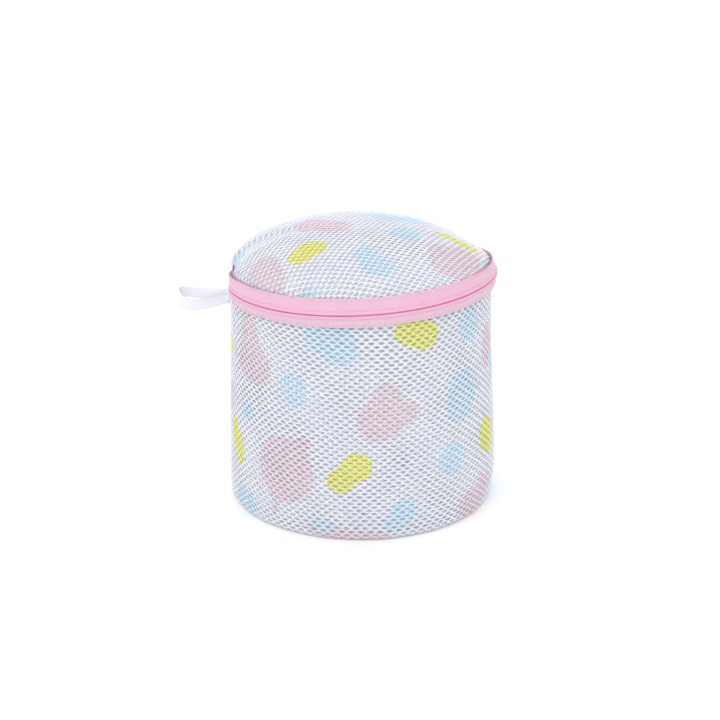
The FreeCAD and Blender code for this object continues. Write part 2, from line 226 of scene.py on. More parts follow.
def tube(path, radius, toward):
    """A round tube along a path. toward is a direction, or one for each point, that isn't along the path."""
    path = np.asarray(path, float)
    along = unit(np.gradient(path, axis=0))
    across = unit(np.cross(along, np.broadcast_to(toward, path.shape)))
    out = np.cross(across, along)
    angle = np.arange(TUBE_SIDES) * 2 * math.pi / TUBE_SIDES
    radius = np.broadcast_to(radius, len(path))[:, None, None]
    rings = (path[:, None] + radius * (np.cos(angle)[None, :, None] * across[:, None]
                                       + np.sin(angle)[None, :, None] * out[:, None]))
    points, faces = grid(rings)
    cloth = np.stack([np.repeat(lengths(path), TUBE_SIDES), np.tile(angle, len(path)),
                      np.zeros(len(points))], 1)
    return points, faces, cloth


def sweep(profile, azimuths, place=rim, closed=False):
    """A band round the bag. profile(azimuth) gives its closed section as rows of radius and height."""
    rings, cloth = [], []
    for azimuth in azimuths:
        section = np.asarray(profile(azimuth), float)
        rings.append(place(section[:, 0], azimuth, section[:, 1]))
        around = np.full(len(section), math.radians(azimuth) * RING_RADIUS)
        cloth.append(np.stack([around, section[:, 1], section[:, 0]], 1))
    points, faces = grid(np.array(rings), closed)
    return points, faces, np.concatenate(cloth)


INWARDS = -HINGE * (1, 1, 0) / np.hypot(*HINGE[:2])
LID_BEND = (HINGE * MM, (HINGE + 14 * INWARDS) * MM)    # where the lid's cloth turns at the hinge


def add(name, part, body, material, replaces=(), bend=None):
    """A finished piece from (points, faces, cloth)."""
    points, faces, cloth = part
    thing = make(name, points, faces, {"cloth": cloth})
    finish(thing, body, material, replaces, bend)


def finish(thing, body, material, replaces=(), bend=None):
    """Gives a piece its material and, unless it gets bend, the body that it moves with.

    Cloth that is sewn to the bag's body at one end gets bend: it is baked in place and attached to no body.
    bend's points, where its turning starts and ends, are not used.
    """
    thing.data.materials.clear()
    thing.data.materials.append(material)
    if bend:
        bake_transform(thing)
    else:
        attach(thing, body)
    if replaces:
        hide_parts(*replaces)


# ---------------- materials

def srgb(red, green, blue):
    """A colour from its usual 0 to 255 values."""
    return tuple(((value / 255 + 0.055) / 1.055) ** 2.4 for value in (red, green, blue)) + (1.0,)


def darker(colour, share):
    """A colour at a share of its brightness."""
    return tuple(value * share for value in colour[:3]) + (1.0,)


class Graph:
    """A material's node tree with one Principled shader."""

    def __init__(self, name, colour, roughness, **sockets):
        self.material = bpy.data.materials.new(name)
        self.material.use_nodes = True
        self.tree = self.material.node_tree
        self.shader = self.tree.nodes["Principled BSDF"]
        self.shader.inputs["Base Color"].default_value = colour
        self.shader.inputs["Roughness"].default_value = roughness
        for socket, value in sockets.items():
            self.shader.inputs[socket.replace("_", " ")].default_value = value

    def add(self, kind, settings=None, **inputs):
        """A node. An input is a number, a colour or another node's output."""
        node = self.tree.nodes.new("ShaderNode" + kind)
        for key, value in (settings or {}).items():
            setattr(node, key, value)
        for key, value in inputs.items():
            socket = node.inputs[int(key[1:])] if key[1:].isdigit() else node.inputs[key.replace("_", " ")]
            if isinstance(value, bpy.types.NodeSocket):
                self.tree.links.new(value, socket)
            else:
                socket.default_value = value
        return node

    def math(self, operation, first, second=0.0):
        return self.add("Math", {"operation": operation}, i0=first, i1=second).outputs[0]

    def mix(self, factor, first, second):
        """Two colours mixed."""
        node = self.add("Mix", {"data_type": "RGBA"})
        for index, value in ((0, factor), (6, first), (7, second)):
            if isinstance(value, bpy.types.NodeSocket):
                self.tree.links.new(value, node.inputs[index])
            else:
                node.inputs[index].default_value = value
        return node.outputs[2]

    def cloth(self):
        """The place on the cloth in millimetres: along and across."""
        attribute = self.add("Attribute", {"attribute_name": "cloth"})
        split = self.add("SeparateXYZ", Vector=attribute.outputs["Vector"])
        return split.outputs[0], split.outputs[1]

    def noise(self, scale, detail=3.0, roughness=0.55):
        """Noise over the object. The scale is in lumps per metre."""
        place = self.add("TexCoord").outputs["Object"]
        node = self.add("TexNoise", Vector=place, Scale=scale, Detail=detail, Roughness=roughness)
        return node.outputs["Fac"]

    def between(self, value, low, high, start, end):
        """A value mapped from low..high to start..end."""
        limits = {"From_Min": low, "From_Max": high, "To_Min": start, "To_Max": end}
        return self.add("MapRange", {"interpolation_type": "SMOOTHSTEP"}, Value=value, **limits).outputs[0]

    def wave(self, value, period, phase=0.0):
        """A sine of a length in millimetres, from -1 to 1."""
        angle = self.math("MULTIPLY", value, 2 * math.pi / period)
        return self.math("SINE", self.math("ADD", angle, phase))

    def bump(self, height, distance, strength=1.0):
        """Relief of a height in millimetres."""
        node = self.add("Bump", Strength=strength, Distance=distance * MM, Height=height)
        self.tree.links.new(node.outputs[0], self.shader.inputs["Normal"])

    def colour(self, socket):
        self.tree.links.new(socket, self.shader.inputs["Base Color"])

    def roughness(self, socket):
        self.tree.links.new(socket, self.shader.inputs["Roughness"])


WHITE = srgb(232, 235, 246)
PINK_INK = srgb(230, 209, 219)
BLUE_INK = srgb(202, 229, 250)
YELLOW_INK = srgb(232, 233, 108)
TAPE_PINK = srgb(240, 192, 216)
LOWER_SHADED_PINK = srgb(232, 196, 214)   # the lower tape's pink, a little paler and greyer than the upper: painted shade on the same tape, which faces down
FOLD_HIGHLIGHT_PINK = srgb(250, 172, 208)    # painted highlight: a brighter pink on the tapes' folds beside the slit
SLIT_SHADE_PINK = srgb(206, 96, 148)     # painted shade: a deep pink in the slit between the folds
END_SHADE_PINK = srgb(214, 130, 168)     # painted shade: a darker pink for the upper tape's turned-in end
COIL_PINK = srgb(226, 140, 178)
ENAMEL_PINK = srgb(240, 170, 200)
WORN_PINK = srgb(250, 220, 234)


def knit(graph):
    """Rows of small knitted loops: across is wavy, so that each row reads as a chain of loops."""
    along, across = graph.cloth()
    chain = graph.math("MULTIPLY", graph.wave(along, 0.66), 1.7)
    rows = graph.math("SINE", graph.math("ADD", graph.math("MULTIPLY", across, 2 * math.pi / 0.52), chain))
    return graph.math("ADD", rows, graph.math("MULTIPLY", graph.noise(2500, 2), 0.8))


def mesh_material(name, ink_share, painted_glow):
    """White knitted polyester printed with pale pink and blue and clear yellow blobs.

    The inner net has less ink. Its emission is painted light: a glow that stands in for the light the thin
    yarn lets through, stronger on the inner net to lift the shade between the two nets.
    """
    graph = Graph(name, WHITE, 0.6, Sheen_Weight=0.2, Sheen_Roughness=0.4, Specular_IOR_Level=0.35,
                  Subsurface_Weight=0.6, Subsurface_Radius=(1.0, 1.0, 1.0), Subsurface_Scale=0.0012,
                  Emission_Color=WHITE, Emission_Strength=painted_glow)
    loops = knit(graph)
    tone = graph.between(graph.noise(90, 2), 0.3, 0.7, 0.0, 1.0)
    colour = graph.mix(tone, WHITE, darker(WHITE, 0.95))
    for key, ink, edge in (("pink", PINK_INK, 0.8), ("blue", BLUE_INK, 0.8), ("yellow", YELLOW_INK, 0.15)):
        place = graph.add("Attribute", {"attribute_name": key}).outputs["Fac"]
        speckle = graph.math("MULTIPLY", graph.math("SUBTRACT", graph.noise(1600, 2), 0.5), edge)
        inked = graph.between(graph.math("ADD", place, speckle), -edge, edge, 0.0, ink_share)
        colour = graph.mix(inked, colour, ink)
    shade = graph.between(loops, -1.0, 1.4, 0.93, 1.0)
    graph.colour(graph.mix(shade, (0.55, 0.56, 0.6, 1), colour))
    graph.roughness(graph.between(graph.noise(600, 2), 0.3, 0.7, 0.52, 0.7))
    graph.bump(loops, 0.05, 0.8)
    return graph.material


def woven_material(name, tint, rib=0.42, relief=0.03, gloss=0.55, folds=False):
    """Woven tape: ribs along it with a fine twill across them. Zipper tape gets painted highlight on its folds
    and painted shade in its slit.
    """
    graph = Graph(name, tint, gloss, Sheen_Weight=0.3, Sheen_Roughness=0.35, Specular_IOR_Level=0.35)
    along, across = graph.cloth()
    ribs = graph.wave(across, rib)
    zigzag = graph.math("PINGPONG", across, rib)
    weft = graph.wave(graph.math("ADD", along, graph.math("MULTIPLY", zigzag, 1.2)), rib * 0.9)
    height = graph.math("ADD", ribs, graph.math("MULTIPLY", weft, 0.6))
    height = graph.math("ADD", height, graph.math("MULTIPLY", graph.noise(1800, 2), 0.7))
    # Painted shade: the colour darkens where the weave's relief is low, in its grooves. The cloud is random
    # tone.
    dark = darker(tint, 0.86)
    tone = graph.between(height, -1.6, 1.6, 0.15, 1.0)
    cloud = graph.between(graph.noise(120, 3), 0.3, 0.7, 0.0, 0.25)
    colour = graph.mix(cloud, graph.mix(tone, dark, tint), dark)
    if folds:
        # Painted light: a highlight of brighter pink on the folds beside the slit, and painted shade of deep
        # pink in the slit.
        away = graph.math("ABSOLUTE", across)
        colour = graph.mix(graph.between(away, 1.3, 2.6, 0.5, 0.0), colour, FOLD_HIGHLIGHT_PINK)
        colour = graph.mix(graph.between(away, 0.05, 0.6, 1.0, 0.0), colour, SLIT_SHADE_PINK)
    graph.colour(colour)
    graph.roughness(graph.between(height, -1.6, 1.6, gloss + 0.12, gloss - 0.05))
    graph.bump(height, relief)
    return graph.material


def thread_material(name, tint):
    """Two-ply sewing thread: its plies wind round it."""
    graph = Graph(name, tint, 0.5, Sheen_Weight=0.3, Specular_IOR_Level=0.4)
    along, around = graph.cloth()
    ply = graph.math("SINE", graph.math("ADD", graph.math("MULTIPLY", along, 2 * math.pi / 0.5),
                                        graph.math("MULTIPLY", around, 2.0)))
    # Painted shade: darker in the grooves between the plies.
    graph.colour(graph.mix(graph.between(ply, -1, 0.6, 0.2, 1.0), darker(tint, 0.8), tint))
    graph.roughness(graph.between(ply, -1, 1, 0.6, 0.42))
    graph.bump(ply, 0.04)
    return graph.material


def nylon_material():
    """The coil's drawn monofilament: smooth, a little cloudy."""
    graph = Graph("coil_nylon", COIL_PINK, 0.35, Specular_IOR_Level=0.5, Coat_Weight=0.1)
    cloud = graph.between(graph.noise(700, 2), 0.3, 0.7, 0, 1)
    graph.colour(graph.mix(cloud, COIL_PINK, darker(COIL_PINK, 0.85)))
    graph.roughness(graph.between(graph.noise(1500, 2), 0.3, 0.7, 0.28, 0.42))
    graph.bump(graph.noise(3000, 2), 0.01)
    return graph.material


def enamel_material():
    """Baked enamel on die-cast zinc: orange-peel skin, rubbed paler on its edges."""
    graph = Graph("slider_enamel", ENAMEL_PINK, 0.3, Coat_Weight=0.4, Coat_Roughness=0.15,
                  Specular_IOR_Level=0.5)
    edge = graph.between(graph.add("NewGeometry").outputs["Pointiness"], 0.52, 0.6, 0, 1)
    worn = graph.math("MULTIPLY", edge, graph.between(graph.noise(900), 0.4, 0.6, 0, 1))
    cloud = graph.between(graph.noise(250), 0.3, 0.7, 0, 1)
    base = graph.mix(cloud, ENAMEL_PINK, darker(ENAMEL_PINK, 0.96))
    graph.colour(graph.mix(graph.math("MULTIPLY", worn, 0.35), base, WORN_PINK))
    graph.roughness(graph.between(graph.noise(1200, 2), 0.3, 0.7, 0.24, 0.4))
    graph.bump(graph.noise(1400, 2), 0.015)
    return graph.material


def satin_material():
    """White satin ribbon: long floats across its width, a firmer edge."""
    graph = Graph("ribbon_satin", srgb(250, 252, 255), 0.32, Sheen_Weight=0.3, Specular_IOR_Level=0.45,
                  Anisotropic=0.4)
    floats = graph.wave(graph.cloth()[0], 0.16)
    grain = graph.math("ADD", floats, graph.math("MULTIPLY", graph.noise(1500, 2), 1.2))
    graph.colour(graph.mix(graph.between(grain, -1, 2, 0, 1), srgb(232, 234, 244), srgb(246, 248, 253)))
    graph.roughness(graph.between(grain, -1, 2, 0.42, 0.28))
    graph.bump(grain, 0.012)
    return graph.material


# Emission on both nets is painted light, stronger on the inner net.
FACE_MESH = mesh_material("mesh_face", 1.0, 0.04)
BACK_MESH = mesh_material("mesh_back", 0.45, 0.16)
TAPE = woven_material("zipper_tape_weave", TAPE_PINK, folds=True)
# The lower tape's tint is a shaded copy of the tape's pink: painted shade.
SHADED_LOWER_TAPE = woven_material("lower_tape_shaded_weave", LOWER_SHADED_PINK, folds=True)
# The turned-in end's darker pink is painted shade.
TAPE_END_SHADE = woven_material("tape_end_shade_weave", END_SHADE_PINK)
BINDING = woven_material("binding_weave", srgb(240, 240, 246), rib=0.6, relief=0.05, gloss=0.65)
PINK_THREAD = thread_material("thread_pink", srgb(243, 190, 215))
NYLON = nylon_material()
ENAMEL = enamel_material()
SATIN = satin_material()


# ---------------- camera

def make_camera():
    """Looks down a little at the front of the bag from a metre away."""
    aim = Vector((0, 0, 0.080))
    down = math.radians(20.4)
    data = bpy.data.cameras.new("camera")
    data.sensor_width = 36
    data.lens = 88.65
    data.shift_x = -0.0015
    data.shift_y = -0.008
    camera = show("camera", data)
    camera.location = aim + Vector((0, -math.cos(down), math.sin(down)))
    camera.rotation_euler = (math.pi / 2 - down, 0, 0)
    bpy.context.scene.camera = camera


make_camera()


# ---------------- the knitted net

CELL = 5.2                 # from one hole to the next along a row
ROW = 2.0                  # from one row to the next; every other row is half a cell along
SHOULDER = 0.55            # half the height of a cell's upright sides
NET_SWELL = 0.30           # half the thickness of the net's strands
HEM = 1.6                  # the width along an edge that curls inwards
HEM_CURL = 1.1
CELL_MARGIN = 0.3          # how far inside the cloth a cell's middle is at least
HOLE_MARGIN = 0.35         # and a hole's edge
WALL_COLUMNS = 90
FACE = {"depth": 0.36, "hole": (1.24, 0.74), "rise": 0.0}      # the outer net, below the cloth's surface
BACK = {"depth": 1.15, "hole": (0.62, 0.34), "rise": -0.45}    # the inner net, its rows a little lower
# A cell's corners, in half cells along and in quarter rows up.
CORNERS = np.array([(1, 0), (1, 1), (0, 3), (-1, 1), (-1, 0), (-1, -1), (0, -3), (1, -1)])
HOLE_ANGLES = np.radians([0, 38, 90, 142, 180, 218, 270, 322])


def row_level(quarter):
    """The distance up the cloth of a count of quarter rows."""
    row = np.floor((quarter + 2) / 4)
    return row * ROW + (quarter - 4 * row) * SHOULDER


def net(layer, centres, hold, place, drift, wrap):
    """A net of hexagonal cells with an oval hole in each, closed all round.

    centres are the cells as (half cells along, row). hold(u, v, margin) keeps a place on the cloth inside its
    edge. place(u, v, depth) turns it into a point. drift(u, v, askew) is how far the rows wander from true.
    wrap is the count of half cells round a tube. Gives points, faces and each point's place on the cloth.
    """
    depth, hole, rise = layer["depth"], layer["hole"], layer["rise"]
    askew = float(layer is BACK)  # so that the two nets' holes line up only here and there
    along = centres[:, :1] + CORNERS[:, 0]
    quarter = 4 * centres[:, 1:] + CORNERS[:, 1]
    if wrap:
        along = along % wrap
    keys, index = np.unique(np.stack([along.ravel(), quarter.ravel()], 1), axis=0, return_inverse=True)
    index = index.reshape(along.shape)
    crest_u = keys[:, 0] * CELL / 2
    crest_v = row_level(keys[:, 1]) + rise
    wander = RANDOM.normal(0, 0.05, (2, len(keys)))
    stray = drift(crest_u, crest_v, askew)
    crest_u, crest_v = hold(crest_u + stray[0] + wander[0], crest_v + stray[1] + wander[1], 0.0)
    size = RANDOM.normal(1, 0.05, (len(centres), 1))
    shift = RANDOM.normal(0, 0.06, (2, len(centres), 1))
    hole_u = centres[:, :1] * CELL / 2 + shift[0] + size * hole[0] * np.cos(HOLE_ANGLES)
    hole_v = centres[:, 1:] * ROW + shift[1] + rise + size * hole[1] * np.sin(HOLE_ANGLES)
    stray = drift(hole_u, hole_v, askew)
    hole_u, hole_v = hold((hole_u + stray[0]).ravel(), (hole_v + stray[1]).ravel(), HOLE_MARGIN)
    swell = NET_SWELL * RANDOM.normal(1, 0.06, len(keys))
    sets = ((crest_u, crest_v, depth - swell), (crest_u, crest_v, depth + swell),
            (hole_u, hole_v, np.full(len(hole_u), depth)))
    points = np.concatenate([place(*values) for values in sets])
    cloth = np.concatenate([np.stack(values, 1) for values in sets])
    count = len(keys)
    upper, lower = index, index + count
    ring = 2 * count + np.arange(len(hole_u)).reshape(index.shape)
    after = np.roll(np.arange(len(CORNERS)), -1)
    top = np.stack([upper, upper[:, after], ring[:, after], ring], 2).reshape(-1, 4)
    under = np.stack([ring, ring[:, after], lower[:, after], lower], 2).reshape(-1, 4)
    pairs = np.stack([index, index[:, after]], 2).reshape(-1, 2)
    sides, used = np.unique(np.sort(pairs, 1), axis=0, return_counts=True)
    once = {tuple(side) for side in sides[used == 1].tolist()}
    open_sides = np.array([pair for pair in pairs.tolist() if tuple(sorted(pair)) in once])
    start, end = open_sides.T
    edge = np.stack([end, start, start + count, end + count], 1)
    faces = np.concatenate([top, under, edge])
    if volume(points, faces) < 0:
        faces = faces[:, ::-1]
    return points, faces, cloth


BLOB_BLEND = 3.5  # how softly two lobes of one blob flow together


def lobes(colour_lobes, distance):
    """How far inside a colour's blobs each point is. distance(lobe) gives it for one lobe."""
    best = None
    for lobe in colour_lobes:
        here = distance(lobe)
        best = here if best is None else (best + here + np.sqrt((best - here) ** 2 + BLOB_BLEND ** 2)) / 2
    return best - BLOB_BLEND ** 2 / 40


def inside_oval(x, y, half_x, half_y, tilt=0.0):
    """The distance inside a tilted oval, negative outside it."""
    turn = math.radians(tilt)
    across = x * math.cos(turn) + y * math.sin(turn)
    up = y * math.cos(turn) - x * math.sin(turn)
    share = np.hypot(across / half_x, up / half_y)
    reach = np.hypot(across, up)
    return np.where(share > 1e-6, reach / np.maximum(share, 1e-6) - reach, min(half_x, half_y))


# Each lobe of a printed blob on the wall: azimuth in degrees, height, half width, half height and any tilt.
WALL_PRINT = {
    "pink": [
        (213.5, 106, 8.5, 13), (216.5, 91, 15, 11.5), (342, 94, 9, 13), (280.5, 81, 7.5, 9),
        (277.5, 69, 11.5, 11), (288, 72, 9, 6, 15), (236, 36.5, 17.5, 18.5), (245, 53, 3, 5, -30),
        (231, 14, 1.6, 5, -10), (325, 8, 11.5, 9), (334, 13, 10, 8), (258, 3.5, 14, 4.5, -6),
        (273, 2.5, 13, 3.5), (12, 62, 13, 13), (17, 50, 9, 8), (40, 112, 13, 8),
        (66, 16, 15, 11), (88, 62, 16, 14, 20), (98, 72, 9, 9), (134, 107, 13, 9),
        (146, 74, 12, 13, -10), (176, 22, 14, 10), (172, 112, 10, 8), (190, 62, 8, 10),
    ],
    "blue": [
        (257, 114, 14, 8), (261, 107, 9, 6), (322.5, 114, 9, 9.5, -10), (240, 85.5, 7.3, 6.8),
        (241.5, 79.5, 5.6, 4.8), (319, 79, 11, 10), (317.5, 69.5, 10, 9), (312, 39.8, 9.6, 9.2, 10),
        (355, 7, 14, 9), (289, 17, 6, 6.3), (284, 10, 6, 5.3), (211, 8, 11, 8), (254, 8, 6, 4),
        (212, 62, 7, 5), (30, 84, 10, 8), (36, 78, 7, 7), (52, 50, 12, 10), (82, 105, 13, 8),
        (118, 50, 11, 12), (126, 14, 13, 8), (166, 92, 11, 9), (350, 80, 7, 9), (30, 8, 10, 6),
        (158, 48, 9, 8),
    ],
    "yellow": [
        (289.5, 117.8, 7.4, 6.6), (297.4, 114.4, 8.4, 7.4), (199.5, 45, 5.5, 7.5),
        (205.5, 35, 5.2, 8), (337.5, 45, 8.5, 9), (340, 37.5, 6, 5.5), (268.3, 43.3, 8.2, 7.9),
        (261, 34.6, 6.8, 6.8), (8, 100, 8, 7), (14, 96, 7, 6), (28, 30, 9, 7.5),
        (60, 88, 7, 8.5), (64, 80, 6, 6), (96, 30, 9, 7.5), (112, 92, 8, 7), (118, 86, 7, 6.5),
        (150, 38, 7, 8), (188, 90, 7, 7),
    ],
}
# The same on the lid: the place seen from above along X and Y, half sizes and any tilt.
LID_PRINT = {
    "pink": [
        (-28, 3, 9.5, 12), (-14, -3, 9, 9.5), (46, -28, 8.5, 8), (56, -27, 9, 12),
        (48, -39, 10, 9), (56, -42, 9, 8), (-51, -41, 9, 12, 10), (-46, -52, 6, 9, 35),
        (40, 58, 9, 7), (-30, 58, 9, 8),
    ],
    "blue": [
        (13, 19, 7, 7), (20, 17, 8, 7), (28, 18, 8, 7.5), (24.8, -12, 9, 8.7),
        (3.6, -41.5, 6.3, 7), (9.5, -51.5, 9, 8.2), (-70.5, -7, 3.4, 15),
        (-27.3, -66.2, 4.5, 4.5), (70.3, -25.5, 4.5, 6.5), (4, 56, 10, 7),
    ],
    "yellow": [
        (-24.5, -32, 7.8, 7.6), (-31.5, -38.6, 6.4, 6.7), (55, -4.2, 14.2, 4.5, -28.5),
        (22, 64, 7, 5),
    ],
}


def cloth_pieces(name, node, body, centres, hold, place, drift, prints, distance, wrap=None,
                 bend=None):
    """The outer and the inner net of one cloth. distance(cloth) gives the prints' distance for its points."""
    for label, layer, material, nodes in (("face", FACE, FACE_MESH, [node]), ("back", BACK, BACK_MESH, [])):
        points, faces, cloth = net(layer, centres, hold, place, drift, wrap)
        colours = {colour: lobes(blobs, distance(cloth)) for colour, blobs in prints.items()}
        thing = make(f"{name}_{label}_net", points, faces, {"cloth": cloth, **colours})
        finish(thing, body, material, nodes, bend)


# ---------------- wall

CORNER_LENGTH = CORNER * math.pi / 2
WALL_FOOT = -(CORNER_LENGTH + WALL_TUCK)
WALL_CUT = 131.0           # the wall's height up the cloth, its lower edge included


def rim_level(azimuth, height):
    """The upright height of a place on the rim, which slopes."""
    right = np.cos(np.radians(azimuth)) * WALL_TOP_RADIUS
    return RIM_CENTRE[2] + (height - RIM_UP[0] * right) / RIM_UP[2]


def wall_edge(azimuth):
    """How far up the cloth the wall's upper edge is."""
    hinge = in_hinge(azimuth)
    return rim_level(azimuth, -TAPE_OVERLAP * (1 - hinge) - HINGE_GAP * hinge) - sag(azimuth) - CORNER


def wall_azimuth(u):
    return u / CELL * 360 / WALL_COLUMNS


def wall_waves(azimuth, height):
    """The soft hollows of cloth that stands up by itself."""
    turn = np.radians(azimuth)
    fade = ramp(height, 0, 30) * (1 - ramp(height, 85, 118))
    wide = 0.35 * np.sin(3 * turn + 0.6) + 0.2 * np.sin(5 * turn + 2.0 + height / 40)
    foot = ramp(height, 0, 16) * (1 - ramp(height, 25, 100))
    wide_foot = 1.8 * hump(azimuth, 348, 42) + 0.9 * hump(azimuth, 192, 40)
    hem = 0.5 * hump(azimuth, 281, 5) * np.exp(-((height - 3) / 6) ** 2)
    return fade * wide + foot * wide_foot + hem


def wall_place(u, v, depth):
    """A point of the wall: up the straight side, or round the corner and under where v is negative."""
    azimuth = wall_azimuth(u)
    turn = np.clip(-v / CORNER, 0, math.pi / 2)
    under = np.maximum(-v - CORNER_LENGTH, 0)
    up = np.maximum(v, 0)
    top = wall_edge(azimuth)
    curl = HEM_CURL * np.clip((v - top + HEM) / HEM, 0, 1) ** 2
    radius = FOOT_RADIUS - CORNER + (CORNER - depth) * np.cos(turn) - under - WALL_SLOPE * up - curl
    height = CORNER - (CORNER - depth) * np.sin(turn) + up
    drawn = draw_in(azimuth, height - rim_level(azimuth, 0))
    return polar(radius + wall_waves(azimuth, height) - drawn, azimuth, height)


def wall_hold(u, v, margin):
    return u, np.clip(v, WALL_FOOT + margin, wall_edge(wall_azimuth(u)) - margin)


def wall_drift(u, v, askew):
    """The wall's rows wander a little, and die out at both edges."""
    turn = np.radians(wall_azimuth(u))
    fade = ramp(v, -2, 12) * (1 - ramp(v, 100, 118))
    along = 0.9 * np.sin(2 * turn + 0.5 + v / 30) + askew * 1.1 * np.sin(5 * turn + v / 14)
    up = 1.0 * np.sin(3 * turn + v / 45) + askew * 0.5 * np.sin(4 * turn + 1.3 - v / 17)
    return fade * along, fade * up


def disc_drift(u, v, askew):
    """The same on the round cloths."""
    fade = 1 - ramp(np.hypot(u, v), 40, 68)
    along = 0.8 * np.sin(v / 24 + 0.4) + askew * 1.0 * np.sin(u / 15 + v / 21)
    up = 0.8 * np.sin(u / 28) + askew * 0.5 * np.sin(u / 19 - v / 16 + 1)
    return fade * along, fade * up


def wall_centres():
    """The cells whose middle is on the wall."""
    rows = np.arange(math.ceil(WALL_FOOT / ROW), int(WALL_CUT / ROW))
    cells = np.array([(2 * column + row % 2, row) for row in rows for column in range(WALL_COLUMNS)])
    top = wall_edge(wall_azimuth(cells[:, 0] * CELL / 2))
    height = cells[:, 1] * ROW
    return cells[(height < top - CELL_MARGIN) & (height > WALL_FOOT + CELL_MARGIN)]


def wall_distance(cloth):
    """The distance to a lobe over the wall, for each point."""
    azimuth = wall_azimuth(cloth[:, 0])
    height = cloth[:, 1] + CORNER

    def distance(lobe):
        turn = np.mod(azimuth - lobe[0] + 180, 360) - 180
        return inside_oval(np.radians(turn) * FOOT_RADIUS, height - lobe[1], *lobe[2:])
    return distance


cloth_pieces("wall", "side_wall", "bag_body", wall_centres(), wall_hold, wall_place, wall_drift, WALL_PRINT,
             wall_distance, wrap=2 * WALL_COLUMNS)


# ---------------- lid

def dome_meridian():
    """The dome's section from its top down to its edge: arc length, radius, height and outward direction."""
    radius = np.linspace(0, LID_RADIUS, 200)
    height = LID_EDGE + LID_RISE * (1 - (radius / LID_RADIUS) ** DOME_POWER)
    drop = np.linspace(LID_EDGE, -1, 40)[1:]
    line = np.stack([np.append(radius, np.full(len(drop), LID_RADIUS)), np.append(height, drop)], 1)
    length = lengths(line)
    even = np.arange(0, length[-1], 0.25)
    line = np.stack([np.interp(even, length, line[:, 0]), np.interp(even, length, line[:, 1])], 1)
    for repeat in range(DOME_SMOOTHING):
        line[1:-1] = (line[:-2] + line[1:-1] * 2 + line[2:]) / 4
    step = unit(np.gradient(line, axis=0))
    length = lengths(line)
    return length, line[:, 0], line[:, 1], -step[:, 1], step[:, 0]


DOME = dome_meridian()


def dome_edge(azimuth):
    """The arc length at which the lid's cloth ends."""
    hinge = in_hinge(azimuth)
    height = LID_TUCK * (1 - hinge) + HINGE_GAP * hinge
    return np.interp(-height, -DOME[2], DOME[0])


def lid_place(u, v, depth):
    length = np.hypot(u, v)
    azimuth = disc_azimuth(u, v)
    radius, height, out, up = (np.interp(length, DOME[0], values) for values in DOME[1:])
    edge = dome_edge(azimuth)
    curl = HEM_CURL * np.clip((length - edge + HEM) / HEM, 0, 1) ** 2
    inside = 1 - np.minimum(radius / LID_RADIUS, 1) ** 10
    lean = DOME_LEAN * radius * (np.cos(np.radians(azimuth)) - LEAN_ZERO)
    return rim(radius - depth * out - curl, azimuth, height - depth * up + (sag(azimuth) - lean) * inside)


def disc_azimuth(u, v):
    return np.degrees(np.arctan2(v, u)) + LID_GRAIN


def disc_hold(edge):
    """Keeps places inside a round cloth whose edge is at edge(azimuth)."""
    def hold(u, v, margin):
        length = np.maximum(np.hypot(u, v), 1e-6)
        shrink = np.minimum(1, (edge(disc_azimuth(u, v)) - margin) / length)
        return u * shrink, v * shrink
    return hold


def disc_centres(edge):
    """The cells whose middle is on a round cloth."""
    reach = 90
    cells = np.array([(2 * column + row % 2, row) for row in range(-int(reach / ROW), int(reach / ROW))
                      for column in range(-int(reach / CELL), int(reach / CELL))])
    u, v = cells[:, 0] * CELL / 2, cells[:, 1] * ROW
    return cells[np.hypot(u, v) < edge(disc_azimuth(u, v)) - CELL_MARGIN]


def lid_distance(cloth):
    azimuth = np.radians(disc_azimuth(cloth[:, 0], cloth[:, 1]))
    radius = np.interp(np.hypot(cloth[:, 0], cloth[:, 1]), DOME[0], DOME[1])

    def distance(lobe):
        return inside_oval(radius * np.cos(azimuth) - lobe[0], radius * np.sin(azimuth) - lobe[1], *lobe[2:])
    return distance


def disc_pieces(name, node, body, edge, place, reach, bend=None):
    """A round cloth's two nets. reach, the radius of its flat cut, is not used."""
    cloth_pieces(name, node, body, disc_centres(edge), disc_hold(edge), place, disc_drift, LID_PRINT,
                 lid_distance, bend=bend)


disc_pieces("lid", "lid_panel", "lid", dome_edge, lid_place, dome_edge(270), LID_BEND)


# ---------------- bottom

def bottom_edge(azimuth):
    return np.full(np.shape(azimuth), BOTTOM_RADIUS - 0.1)


def bottom_place(u, v, depth):
    return polar(np.hypot(u, v), disc_azimuth(u, v), depth)


disc_pieces("bottom", "bottom_panel", "bag_body", bottom_edge, bottom_place, BOTTOM_RADIUS)


# ---------------- zipper

TAPE_THICKNESS = 0.6
EDGE_ROUNDING = 0.25       # how far from a tape's edge its rounding starts
SLIT = 0.03                # half the gap between the two tapes
SLIT_RADIUS = RING_RADIUS - 0.35    # the tapes' outer radius beside it
BULGE = (0.55, 1.15, 0.55)       # the fold beside the slit: height, place across the tape and width
GROOVE = (-0.38, 2.25, 0.28)     # the groove beyond it
TAPE_STEP = 0.75           # degrees
TAPE_START = 187.0         # the tapes' folded ends at the left
FLARE_POWER = 2.5          # how late the flare sets in towards the edge
UPPER_EDGE = 74.4          # the radius of the upper tape's top edge
LOWER_EDGE = 74.0          # the radius of the lower tape's bottom edge


def tape_radius(height, edge, edge_radius, stands_off=0.0):
    """A tape's outer radius at a height, without its bulge and groove."""
    share = height / edge
    spread = (edge_radius - SLIT_RADIUS) * np.clip(share, 0, 1)
    return SLIT_RADIUS + spread + stands_off * share ** FLARE_POWER


def flare(azimuth):
    """How far the upper tape's top edge stands off the lid."""
    turn = math.radians(azimuth)
    ripple = 0.10 * math.sin(turn * 11) + 0.07 * math.sin(turn * 23 + 1)
    return (0.7 * hump(azimuth, 206, 14) + 0.8 * hump(azimuth, 332, 14) + 0.5 * hump(azimuth, TAPE_START, 3)
            + ripple)


